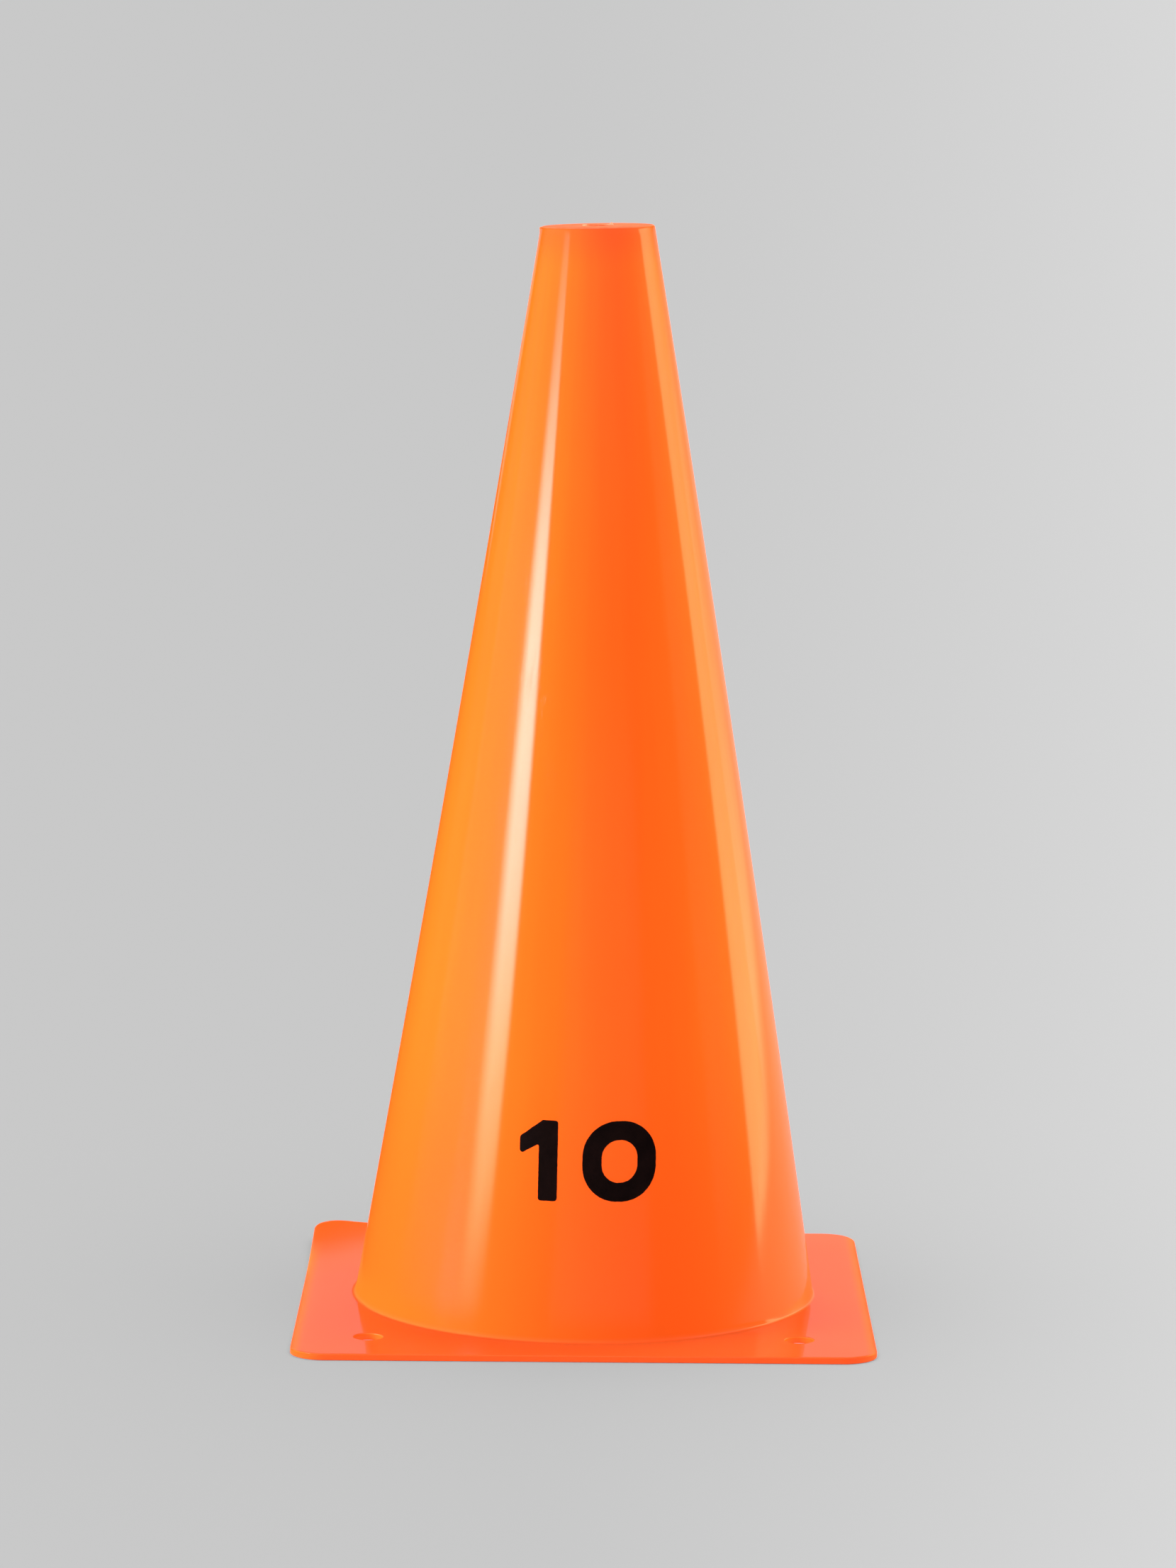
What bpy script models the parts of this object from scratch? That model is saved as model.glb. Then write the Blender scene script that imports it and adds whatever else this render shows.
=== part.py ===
# Training cone, made as the real one is: a single injection moulding. A thin hollow cone,
# closed at its small end, flows through a fillet into a square foot plate with four peg holes.
# Metres, +Z up. The origin is the centre of the plate's underside, and the front is -Y.

import math

import bmesh
import bpy
from mathutils import Vector

for leftover in list(bpy.data.objects):
    bpy.data.objects.remove(leftover, do_unlink=True)

MM = 0.001

# Cone wall. The two radii are where the wall's straight outer line meets the plate and the top.
CONE_HEIGHT = 380.0 * MM
FOOT_RADIUS = 81.3 * MM
TOP_RADIUS = 19.75 * MM
WALL_THICKNESS = 1.8 * MM
ROOF_THICKNESS = 2.2 * MM

# Roundings of the cone: outside at the foot and the rim, inside at the mouth and the roof
FOOT_FILLET = 1.5 * MM
RIM_ROUND = 1.1 * MM
MOUTH_ROUND = 3.0 * MM
ROOF_FILLET = 1.0 * MM

# Gate stub, the low disc where the plastic entered the mould, on the middle of the top
STUB_RADIUS = 5.5 * MM
STUB_HEIGHT = 0.35 * MM
STUB_ROUND = 0.2 * MM

# Foot plate. It reaches one margin past the wall on each of its four sides.
PLATE_MARGIN = 18.7 * MM
PLATE_THICKNESS = 2.3 * MM
PLATE_CORNER_RADIUS = 12.0 * MM
PLATE_TOP_ROUND = 0.3 * MM
PLATE_BOTTOM_ROUND = 0.7 * MM

# Peg holes, one on each diagonal. The share runs from the foot's fillet to the plate's corner.
PEG_HOLE_RADIUS = 5.0 * MM
PEG_HOLE_ROUND = 0.35 * MM
PEG_HOLE_PLACE_SHARE = 0.408
PEG_HOLE_COUNT = 4

# The most of its wall's thickness that one rounding of an edge may take
EDGE_LIMIT_SHARE = 0.45

# Facets round the cone, a peg hole and a plate corner, and steps across each rounding
CONE_FACETS = 96
PEG_HOLE_FACETS = 32
PLATE_CORNER_STEPS = 8
FILLET_STEPS = 5
EDGE_STEPS = 3

FULL_TURN = 2.0 * math.pi
SHARP_ANGLE = math.radians(30.0)
FLAT_TOLERANCE = 0.002 * MM

# Moulded polyethylene, dyed orange through and glossy
PLASTIC_COLOUR = (1.0, 0.155, 0.012, 1.0)
PLASTIC_ROUGHNESS = 0.28
PLASTIC_METALLIC = 0.0

# The wall leans in by the same amount everywhere, so both of its faces are true cones.
wall_lean = math.atan2(FOOT_RADIUS - TOP_RADIUS, CONE_HEIGHT - PLATE_THICKNESS)
plate_side = 2.0 * (FOOT_RADIUS + PLATE_MARGIN)


def outer_radius_at(height):
    return TOP_RADIUS + (CONE_HEIGHT - height) * math.tan(wall_lean)


def inner_radius_at(height):
    return outer_radius_at(height) - WALL_THICKNESS / math.cos(wall_lean)


def edge_round(radius, thickness):
    # A rounding is limited by the wall that carries it.
    return min(radius, thickness * EDGE_LIMIT_SHARE)


def corner_arc(before, corner, after, radius, steps):
    # Points of the arc that touches both lines through the corner, from one line to the other
    to_before = (before - corner).normalized()
    to_after = (after - corner).normalized()
    half_angle = to_before.angle(to_after) / 2.0
    centre = corner + (to_before + to_after).normalized() * (radius / math.sin(half_angle))
    touch = radius / math.tan(half_angle)
    first = (corner + to_before * touch - centre).normalized()
    last = (corner + to_after * touch - centre).normalized()
    return [centre + first.slerp(last, step / steps) * radius for step in range(steps + 1)]


def skin_profile(corners, steps):
    # Corners are (radius from the axis, height, rounding). The first and the last are only
    # the far ends of the first and last lines: the profile keeps what lies between them.
    places = [Vector((radius, height)) for radius, height, rounding in corners]
    profile = []
    for index in range(1, len(corners) - 1):
        rounding = corners[index][2]
        if rounding > 0.0:
            before, corner, after = places[index - 1:index + 2]
            profile += corner_arc(before, corner, after, rounding, steps)
        else:
            profile.append(places[index])
    return profile


def outer_skin():
    rim_round = edge_round(RIM_ROUND, TOP_RADIUS - STUB_RADIUS)
    stub_round = edge_round(STUB_ROUND, STUB_HEIGHT)
    stub_top = CONE_HEIGHT + STUB_HEIGHT
    return skin_profile([
        (0.0, stub_top, 0.0),
        (STUB_RADIUS, stub_top, stub_round),
        (STUB_RADIUS, CONE_HEIGHT, 0.0),
        (TOP_RADIUS, CONE_HEIGHT, rim_round),
        (FOOT_RADIUS, PLATE_THICKNESS, FOOT_FILLET),
        (FOOT_RADIUS + PLATE_MARGIN, PLATE_THICKNESS, 0.0),
    ], FILLET_STEPS)


def inner_skin():
    roof_height = CONE_HEIGHT - ROOF_THICKNESS
    return skin_profile([
        (0.0, roof_height, 0.0),
        (inner_radius_at(roof_height), roof_height, ROOF_FILLET),
        (inner_radius_at(0.0), 0.0, MOUTH_ROUND),
        (FOOT_RADIUS + PLATE_MARGIN, 0.0, 0.0),
    ], FILLET_STEPS)


def peg_hole_skin():
    rounding = edge_round(PEG_HOLE_ROUND, PLATE_THICKNESS)
    far_radius = PEG_HOLE_RADIUS + PLATE_MARGIN
    return skin_profile([
        (far_radius, PLATE_THICKNESS, 0.0),
        (PEG_HOLE_RADIUS, PLATE_THICKNESS, rounding),
        (PEG_HOLE_RADIUS, 0.0, rounding),
        (far_radius, 0.0, 0.0),
    ], EDGE_STEPS)


def plate_edge_skin():
    # Distances from the plate's middle to its side, and heights, from the top face down
    top_round = edge_round(PLATE_TOP_ROUND, PLATE_THICKNESS)
    bottom_round = edge_round(PLATE_BOTTOM_ROUND, PLATE_THICKNESS)
    half_side = plate_side / 2.0
    return skin_profile([
        (0.0, PLATE_THICKNESS, 0.0),
        (half_side, PLATE_THICKNESS, top_round),
        (half_side, 0.0, bottom_round),
        (0.0, 0.0, 0.0),
    ], EDGE_STEPS)


def peg_hole_distance():
    # From the axis, along the diagonal
    foot_edge = outer_skin()[-1].x
    corner_reach = (plate_side / 2.0 - PLATE_CORNER_RADIUS) * math.sqrt(2.0) + PLATE_CORNER_RADIUS
    return foot_edge + (corner_reach - foot_edge) * PEG_HOLE_PLACE_SHARE


def spin_skin(shell, profile, centre, facets):
    # Turns a profile once round the upright line through the centre
    rim = [shell.verts.new((centre.x + point.x, centre.y, point.y)) for point in profile]
    edges = [shell.edges.new(pair) for pair in zip(rim, rim[1:])]
    bmesh.ops.spin(
        shell, geom=rim + edges, cent=centre, axis=(0.0, 0.0, 1.0),
        angle=FULL_TURN, steps=facets, use_merge=True)


def plate_outline(half_side):
    # A square with round corners, drawn in evenly from the plate's own outline
    radius = PLATE_CORNER_RADIUS - (plate_side / 2.0 - half_side)
    signs = ((1, 1), (-1, 1), (-1, -1), (1, -1))
    square = [Vector((half_side * x_sign, half_side * y_sign)) for x_sign, y_sign in signs]
    outline = []
    for index, corner in enumerate(square):
        after = square[(index + 1) % len(square)]
        outline += corner_arc(square[index - 1], corner, after, radius, PLATE_CORNER_STEPS)
    return outline


def loft_plate_edge(shell):
    loops = []
    for half_side, height in plate_edge_skin():
        loops.append([shell.verts.new((x, y, height)) for x, y in plate_outline(half_side)])
    for upper, lower in zip(loops, loops[1:]):
        for index, corner in enumerate(upper):
            shell.faces.new((upper[index - 1], corner, lower[index], lower[index - 1]))


def fill_flat(shell, height):
    # Every open edge at this height bounds one flat face, with its holes
    rims = []
    for edge in shell.edges:
        at_height = all(abs(vertex.co.z - height) < FLAT_TOLERANCE for vertex in edge.verts)
        if edge.is_boundary and at_height:
            rims.append(edge)
    bmesh.ops.triangle_fill(shell, edges=rims, normal=(0.0, 0.0, 1.0), use_beauty=True)


def plastic():
    material = bpy.data.materials.new("orange_plastic")
    material.use_nodes = True
    shader = material.node_tree.nodes["Principled BSDF"]
    shader.inputs["Base Color"].default_value = PLASTIC_COLOUR
    shader.inputs["Roughness"].default_value = PLASTIC_ROUGHNESS
    shader.inputs["Metallic"].default_value = PLASTIC_METALLIC
    return material


def cone_moulding():
    shell = bmesh.new()
    axis_foot = Vector((0.0, 0.0, 0.0))
    spin_skin(shell, outer_skin(), axis_foot, CONE_FACETS)
    spin_skin(shell, inner_skin(), axis_foot, CONE_FACETS)
    for index in range(PEG_HOLE_COUNT):
        angle = FULL_TURN * (index + 0.5) / PEG_HOLE_COUNT
        direction = Vector((math.cos(angle), math.sin(angle), 0.0))
        spin_skin(shell, peg_hole_skin(), direction * peg_hole_distance(), PEG_HOLE_FACETS)
    loft_plate_edge(shell)
    flats = (CONE_HEIGHT + STUB_HEIGHT, CONE_HEIGHT - ROOF_THICKNESS, PLATE_THICKNESS, 0.0)
    for height in flats:
        fill_flat(shell, height)
    bmesh.ops.recalc_face_normals(shell, faces=shell.faces)

    mesh = bpy.data.meshes.new("cone_moulding")
    shell.to_mesh(mesh)
    shell.free()
    mesh.shade_smooth()
    mesh.set_sharp_from_angle(angle=SHARP_ANGLE)
    mesh.materials.append(plastic())
    moulding = bpy.data.objects.new("cone_moulding", mesh)
    bpy.context.scene.collection.objects.link(moulding)
    return moulding


cone_moulding()
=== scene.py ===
# Training cone, dressed for the camera: one glossy orange moulding that stands on its square
# foot plate, with a plain number printed on its front. Metres, +Z up, the front faces -Y.
import math

import bmesh
import bpy
from mathutils import Matrix, Quaternion, Vector


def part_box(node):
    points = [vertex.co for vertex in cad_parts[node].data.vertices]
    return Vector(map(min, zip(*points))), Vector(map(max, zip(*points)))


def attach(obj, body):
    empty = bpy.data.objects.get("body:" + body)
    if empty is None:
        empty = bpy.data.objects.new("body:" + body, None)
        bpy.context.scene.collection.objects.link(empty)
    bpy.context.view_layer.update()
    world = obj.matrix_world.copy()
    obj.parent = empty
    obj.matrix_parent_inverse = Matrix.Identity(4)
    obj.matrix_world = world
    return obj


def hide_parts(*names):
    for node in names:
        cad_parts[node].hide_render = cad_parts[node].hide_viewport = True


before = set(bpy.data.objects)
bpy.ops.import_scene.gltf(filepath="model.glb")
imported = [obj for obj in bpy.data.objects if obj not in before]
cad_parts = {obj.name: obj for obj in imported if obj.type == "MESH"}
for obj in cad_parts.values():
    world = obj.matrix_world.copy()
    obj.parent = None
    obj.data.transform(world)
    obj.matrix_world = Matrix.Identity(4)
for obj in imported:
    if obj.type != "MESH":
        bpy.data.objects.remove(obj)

mm = 0.001
black, white = (0.0, 0.0, 0.0, 1.0), (1.0, 1.0, 1.0, 1.0)
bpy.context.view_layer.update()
cadLow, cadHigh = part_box("cone_moulding")


def operator(operation, reflected=False):
    # A method for Wire that adds one maths node. Reflected is for a plain number on the left.
    def method(self, value):
        values = (value, self) if reflected else (self, value)
        return self.bench.maths(operation, *values)
    return method


class Wire:
    # An output socket that can stand in a Python expression
    def __init__(self, bench, socket):
        self.bench = bench
        self.socket = socket

    __add__, __radd__ = operator("ADD"), operator("ADD", True)
    __sub__, __rsub__ = operator("SUBTRACT"), operator("SUBTRACT", True)
    __mul__, __rmul__ = operator("MULTIPLY"), operator("MULTIPLY", True)
    __truediv__, __rtruediv__ = operator("DIVIDE"), operator("DIVIDE", True)
    __pow__, __mod__ = operator("POWER"), operator("MODULO")
    __lt__, __gt__ = operator("LESS_THAN"), operator("GREATER_THAN")

    def __abs__(self):
        return self.bench.maths("ABSOLUTE", self)

    def other(self, name):
        # another output of the same node
        found = [out for out in self.socket.node.outputs if out.name == name and out.enabled]
        return Wire(self.bench, found[0])


class NodeBench:
    # Adds nodes to one tree, of materials or of geometry
    def __init__(self, tree):
        self.tree = tree

    def node(self, kind, sockets=None, **settings):
        made = self.tree.nodes.new(kind)
        for name, value in settings.items():
            if name == "choices":
                while len(made.index_switch_items) < value:
                    made.index_switch_items.new()
            else:
                setattr(made, name, value)
        for key, value in (sockets or {}).items():
            self.plug(made, key, value)
        shown = [out for out in made.outputs if out.enabled]
        return Wire(self, shown[0]) if shown else made

    def plug(self, made, key, value):
        # A key is a socket's name, or its number where several share a name
        if isinstance(key, int):
            target = made.inputs[key]
        else:
            target = [socket for socket in made.inputs if socket.name == key and socket.enabled][0]
        if isinstance(value, list):
            for wire in value:
                self.tree.links.new(wire.socket, target)
        elif isinstance(value, Wire):
            self.tree.links.new(value.socket, target)
        else:
            target.default_value = value

    def here(self):
        # the place of each point of a geometry
        return self.node("GeometryNodeInputPosition")

    def maths(self, operation, *values):
        return self.node("ShaderNodeMath", dict(enumerate(values)), operation=operation)

    def clamped(self, value):
        return self.node("ShaderNodeClamp", {"Value": value})

    def vector(self, x=0.0, y=0.0, z=0.0):
        return self.node("ShaderNodeCombineXYZ", {"X": x, "Y": y, "Z": z})

    def split(self, vector):
        # the vector's x, y and z
        x = self.node("ShaderNodeSeparateXYZ", {"Vector": vector})
        return x, x.other("Y"), x.other("Z")

    def vectorMaths(self, operation, *values):
        return self.node("ShaderNodeVectorMath", dict(enumerate(values)), operation=operation)

    def put(self, geometry, **where):
        # sets its Position, or moves it by an Offset
        return self.node("GeometryNodeSetPosition", {"Geometry": geometry, **where})


def newBench(owner):
    # for the tree that a material, a lamp or a world owns, with nothing in it yet
    owner.use_nodes = True
    owner.node_tree.nodes.clear()
    return NodeBench(owner.node_tree)


def added(name, data):
    # a new object in the scene
    made = bpy.data.objects.new(name, data)
    bpy.context.scene.collection.objects.link(made)
    return made


# The moulding's sizes
mouldingSizes = {
    "Cone Height": 380.0 * mm,
    "Foot Radius": 81.3 * mm,
    "Top Radius": 19.75 * mm,
    "Wall": 1.8 * mm,
    "Roof": 2.2 * mm,
    "Foot Fillet": 0.9 * mm,
    "Rim Round": 1.1 * mm,
    "Mouth Round": 3.0 * mm,
    "Roof Fillet": 1.0 * mm,
    "Gate Radius": 5.5 * mm,
    "Gate Height": 0.35 * mm,
    "Gate Round": 0.15 * mm,
    "Gate Foot Round": 0.05 * mm,
    "Plate Side": cadHigh.x - cadLow.x,
    "Plate": 2.3 * mm,
    "Plate Corner": 12.0 * mm,
    "Plate Top Round": 0.3 * mm,
    "Plate Bottom Round": 0.4 * mm,
    "Peg Hole Radius": 5.0 * mm,
    "Peg Hole Round": 0.35 * mm,
    "Peg Hole Spacing": 147.86 * mm,
    # the flat strip that each skin ends in
    "Flat Lip": 1.0 * mm,
    "Peg Hole Lip": 0.8 * mm,
    "Gate Lip": 0.25 * mm,
    "Gate Foot Lip": 0.5 * mm,
    "Guard": 2.5 * mm,               # where the straight wall starts past a rounding
    "Inner Guard": 5.0 * mm,         # past the mouth's larger one
    "Facets": 192,
    "Gate Facets": 64,
    "Peg Hole Facets": 56,
    "Wall Rings": 70,
    "Inner Rings": 30,
    "Round Steps": 6,
    "Gate Steps": 3,
    "Gate Foot Steps": 2,
    "Corner Steps": 14,
    "Side Cuts": 70,
    # the lattice on each flat face
    "Gate Pitch": 0.4 * mm,
    "Top Pitch": 1.2 * mm,
    "Roof Pitch": 2.0 * mm,
    "Plate Pitch": 2.5 * mm,
    "Underside Pitch": 4.0 * mm,
    # how the real one has warped
    "Lean": 1.85 * mm,
    "Bow": 1.08 * mm,
    "Top Tilt": 0.024,
    "Top Settle": 0.25 * mm,
    "Tilt Sharpness": 12.0,          # a higher power keeps the tilt nearer the top
    "Corner Lift": 3.9 * mm,
    "Lift Start": 80.0 * mm,         # along the diagonal, from the middle
    "Lift Length": 56.0 * mm,
    "Edge Drop": 0.45 * mm,          # along the left and right sides of the plate
    "Edge Drop Width": 4.5 * mm,
    "Wall Unevenness": 0.05 * mm,
    "Wall Waves": 24.0,              # to the metre
    "Wall Waves Start": 20.0 * mm,   # they are whole from this far above the plate
    "Plate Unevenness": 0.12 * mm,
    "Plate Waves": 38.0,
    # the torn gate
    "Tear Edge": 0.6 * mm,
    "Tear Roughness": 0.45 * mm,
    "Tear Grain": 900.0,
    "Tip": 0.7 * mm,
    "Tip Place": 4.9 * mm,           # right of the gate's middle
    "Tip Spread": 0.35 * mm * mm,    # an area
    # a crumb of flash at the rim's left end
    "Burr": 0.4 * mm,
    "Burr Reach": 0.55 * mm,
    "Burr Rise": 0.6,                # its share that points up
    "Burr Front": 1.2 * mm,
    "Burr Depth": 0.66 * mm,         # below the top
}
weldDistance = 0.01 * mm             # points nearer than this are one
sharpAngle = math.radians(40.0)      # an edge that turns more stays sharp
waveStretch = 2.5                    # the wall's waves are longer up the wall than round it


def newGeometryTree(name, sizes):
    # A tree with one named input for each size. Returns the bench and the sizes as wires.
    tree = bpy.data.node_groups.new(name, "GeometryNodeTree")
    tree.interface.new_socket("Geometry", in_out="OUTPUT", socket_type="NodeSocketGeometry")
    for label, value in sizes.items():
        kind = "NodeSocketInt" if isinstance(value, int) else "NodeSocketFloat"
        tree.interface.new_socket(label, in_out="INPUT", socket_type=kind)
    bench = NodeBench(tree)
    entry = tree.nodes.new("NodeGroupInput")
    return bench, {label: Wire(bench, entry.outputs[label]) for label in sizes}


def grow(name, bench, sizes, last, material):
    # Runs the tree once and keeps what it makes as a plain mesh with outward faces
    tree = bench.tree
    real = bench.node("GeometryNodeRealizeInstances", {"Geometry": last})
    done = bench.node("GeometryNodeSetMaterial", {"Geometry": real, "Material": material})
    bench.node("NodeGroupOutput", {"Geometry": done})
    piece = added(name, bpy.data.meshes.new(name + "_start"))
    modifier = piece.modifiers.new(name, "NODES")
    modifier.node_group = tree
    for item in tree.interface.items_tree:
        if item.in_out == "INPUT":
            modifier[item.identifier] = sizes[item.name]
    graph = bpy.context.evaluated_depsgraph_get()
    mesh = bpy.data.meshes.new_from_object(piece.evaluated_get(graph), depsgraph=graph)
    mesh.name = name
    piece.modifiers.remove(modifier)
    piece.data = mesh
    shell = bmesh.new()
    shell.from_mesh(mesh)
    bmesh.ops.recalc_face_normals(shell, faces=shell.faces)
    openEdges = sum(1 for edge in shell.edges if not edge.is_manifold)
    shell.to_mesh(mesh)
    shell.free()
    mesh.shade_smooth()
    mesh.set_sharp_from_angle(angle=sharpAngle)
    print(name, len(mesh.vertices), "points,", len(mesh.polygons), "faces,", openEdges, "open")
    return piece


def cornerCurve(bench, corners, cyclic=False):
    # A line through the corners (along, height, rounding, steps), each rounded as it says
    index = bench.node("GeometryNodeInputIndex")
    choices = len(corners)

    def chosen(kind, values):
        sockets = {"Index": index, **{str(number): value for number, value in enumerate(values)}}
        return bench.node("GeometryNodeIndexSwitch", sockets, data_type=kind, choices=choices)

    place = chosen("VECTOR", [bench.vector(x=corner[0], z=corner[1]) for corner in corners])
    radius = chosen("FLOAT", [corner[2] for corner in corners])
    count = chosen("INT", [corner[3] for corner in corners])
    line = bench.node("GeometryNodeMeshLine", {"Count": choices})
    placed = bench.put(line, Position=place)
    curve = bench.node("GeometryNodeMeshToCurve", {"Mesh": placed})
    if cyclic:
        curve = bench.node("GeometryNodeSetSplineCyclic", {"Geometry": curve, "Cyclic": True})
    return bench.node("GeometryNodeFilletCurve", {
        "Curve": curve, "Count": count, "Radius": radius, "Limit Radius": False}, mode="POLY")


def cutSegment(bench, curve, number, cuts):
    # Cuts the segment that starts at one point of a curve into more
    index = bench.node("GeometryNodeInputIndex")
    chosen = bench.node("FunctionNodeCompare", {
        "A": index, "B": number}, data_type="INT", operation="EQUAL")
    return bench.node("GeometryNodeSubdivideCurve", {"Curve": curve, "Cuts": chosen * cuts})


def sampleAt(bench, geometry, value, index):
    return bench.node("GeometryNodeSampleIndex", {
        "Geometry": geometry, "Value": value, "Index": index}, data_type="FLOAT_VECTOR")


def mergeClose(bench, geometry):
    return bench.node("GeometryNodeMergeByDistance", {
        "Geometry": geometry, "Distance": weldDistance})


def joined(bench, *parts):
    return bench.node("GeometryNodeJoinGeometry", {"Geometry": list(parts)})


def circle(bench, radius, facets):
    return bench.node("GeometryNodeCurvePrimitiveCircle", {
        "Resolution": facets, "Radius": radius})


def loftSkin(bench, outline, profile):
    # Carries a profile round a closed outline. Its X is the distance out of the outline.
    def pointsOf(curve):
        points = bench.node("GeometryNodeCurveToPoints", {"Curve": curve}, mode="EVALUATED")
        return points, bench.node("GeometryNodeAttributeDomainSize", {
            "Geometry": points}, component="POINTCLOUD")

    around, aroundCount = pointsOf(outline)
    down, downCount = pointsOf(profile)
    grid = bench.node("GeometryNodeMeshGrid", {
        "Vertices X": aroundCount + 1, "Vertices Y": downCount})
    index = bench.node("GeometryNodeInputIndex")
    place = bench.here()
    column = bench.maths("FLOOR", index / downCount)
    row = index - column * downCount
    station = column % aroundCount
    ringPlace = sampleAt(bench, around, place, station)
    tangent = sampleAt(bench, around, around.other("Tangent"), station)
    outward = bench.vectorMaths("CROSS_PRODUCT", tangent, (0.0, 0.0, 1.0))
    step = sampleAt(bench, down, place, row)
    along, _, rise = bench.split(step)
    out = bench.node("ShaderNodeVectorMath", {
        "Vector": outward, "Scale": along}, operation="SCALE")
    up = bench.vector(z=rise)
    target = bench.vectorMaths("ADD", bench.vectorMaths("ADD", ringPlace, out), up)
    skin = bench.put(grid, Position=target)
    return mergeClose(bench, skin)


def latticeFill(bench, rims, pitch, side):
    # Fills closed lines that lie at height zero with an even lattice, stitched to the lines
    probeHeight, clearShare = 10.0 * mm, 0.6
    region = bench.node("GeometryNodeFillCurve", {"Curve": rims})
    lines = bench.node("GeometryNodeCurveToMesh", {"Curve": rims})
    count = bench.maths("ROUND", side / pitch)
    lattice = bench.node("GeometryNodeMeshGrid", {
        "Size X": side, "Size Y": side, "Vertices X": count, "Vertices Y": count})
    place = bench.here()
    above = bench.vectorMaths("ADD", place, (0.0, 0.0, probeHeight))
    inside = bench.node("GeometryNodeRaycast", {
        "Target Geometry": region, "Source Position": above,
        "Ray Direction": (0.0, 0.0, -1.0), "Ray Length": probeHeight * 2.0})
    near = bench.node("GeometryNodeProximity", {
        "Geometry": lines, "Sample Position": place}, target_element="EDGES").other("Distance")
    outside = (inside * (near > pitch * clearShare)) < 0.5
    kept = bench.node("GeometryNodeDeleteGeometry", {
        "Geometry": lattice, "Selection": outside})

    # What the cut left without a face goes too, and the rest has one face or two at each edge.
    edgeFaces = bench.node("GeometryNodeInputMeshEdgeNeighbors")
    pointFaces = bench.node("GeometryNodeInputMeshVertexNeighbors").other("Face Count")
    kept = bench.node("GeometryNodeDeleteGeometry", {
        "Geometry": kept, "Selection": edgeFaces < 0.5}, domain="EDGE", mode="EDGE_FACE")
    kept = bench.node("GeometryNodeDeleteGeometry", {
        "Geometry": kept, "Selection": pointFaces < 0.5})
    openEdge = (edgeFaces < 1.5) * (edgeFaces > 0.5)
    ragged = bench.node("GeometryNodeMeshToCurve", {"Mesh": kept, "Selection": openEdge})
    strip = bench.node("GeometryNodeFillCurve", {"Curve": joined(bench, rims, ragged)})
    return mergeClose(bench, joined(bench, kept, strip))


def moved(bench, geometry, height):
    return bench.node("GeometryNodeTransform", {
        "Geometry": geometry, "Translation": bench.vector(z=height)})


def fillFlat(bench, skins, height, pitch, side):
    # Every open edge of the skins at this height bounds one flat face, with its holes
    z = bench.split(bench.here())[2]
    level = abs(z - height) < weldDistance
    edgeFaces = bench.node("GeometryNodeInputMeshEdgeNeighbors")
    rims = bench.node("GeometryNodeMeshToCurve", {
        "Mesh": skins, "Selection": level * (edgeFaces < 1.5)})
    flat = latticeFill(bench, moved(bench, rims, 0.0 - height), pitch, side)
    return moved(bench, flat, height)


def wallSlope(size):
    # how far the wall leans in, for each unit of height
    return (size["Foot Radius"] - size["Top Radius"]) / (size["Cone Height"] - size["Plate"])


def coneRadius(size, height):
    # of the wall's outside
    return size["Top Radius"] + (size["Cone Height"] - height) * wallSlope(size)


def noiseAt(place, scale, detail=1.0, stretch=1.0):
    # A smooth noise from -0.5 to 0.5. Stretch above 1 draws it out along Z.
    if stretch != 1.0:
        place = place.bench.vectorMaths("MULTIPLY", place, (1.0, 1.0, 1.0 / stretch))
    return place.bench.node("ShaderNodeTexNoise", {
        "Vector": place, "Scale": scale, "Detail": detail}) - 0.5


def leanAt(size, share):
    # How far the axis stands to the right, at a share of the height. The bow is whole half way up.
    return share * size["Lean"] + share * (1.0 - share) * (size["Bow"] * 4.0)


def tiltAt(size, share, x):
    # how far the tilted top lifts a place
    return (x * size["Top Tilt"] - size["Top Settle"]) * share ** size["Tilt Sharpness"]


def warped(bench, size, geometry):
    # The lean, the tilted top, the lifted corner and the slight unevenness of the real one
    place = bench.here()
    x, y, z = bench.split(place)
    share = z / size["Cone Height"]

    half = size["Plate Side"] / 2.0
    diagonal = (y - x) * math.sqrt(0.5)
    lift = bench.clamped((diagonal - size["Lift Start"]) / size["Lift Length"]) ** 2.0
    inStrip = bench.clamped((abs(x) - half) / size["Edge Drop Width"] + 1.0)
    topShare = bench.clamped(z / size["Plate"])
    drop = inStrip ** 2.0 * topShare * size["Edge Drop"]
    onPlate = 1.0 - bench.clamped((z - size["Plate"]) / size["Plate"])
    sag = noiseAt(place, size["Plate Waves"]) * topShare * onPlate * size["Plate Unevenness"]
    onWall = bench.clamped((z - size["Plate"]) / size["Wall Waves Start"])
    waves = noiseAt(place, size["Wall Waves"], stretch=waveStretch)
    swell = waves * onWall * size["Wall Unevenness"]

    flatPlace = bench.vectorMaths("MULTIPLY", place, (1.0, 1.0, 0.0))
    outward = bench.vectorMaths("NORMALIZE", flatPlace)
    swellOut = bench.node("ShaderNodeVectorMath", {
        "Vector": outward, "Scale": swell}, operation="SCALE")
    up = tiltAt(size, share, x) + lift * size["Corner Lift"] - drop + sag
    offset = bench.vectorMaths("ADD", swellOut, bench.vector(x=leanAt(size, share), z=up))
    return bench.put(geometry, Offset=offset)


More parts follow.
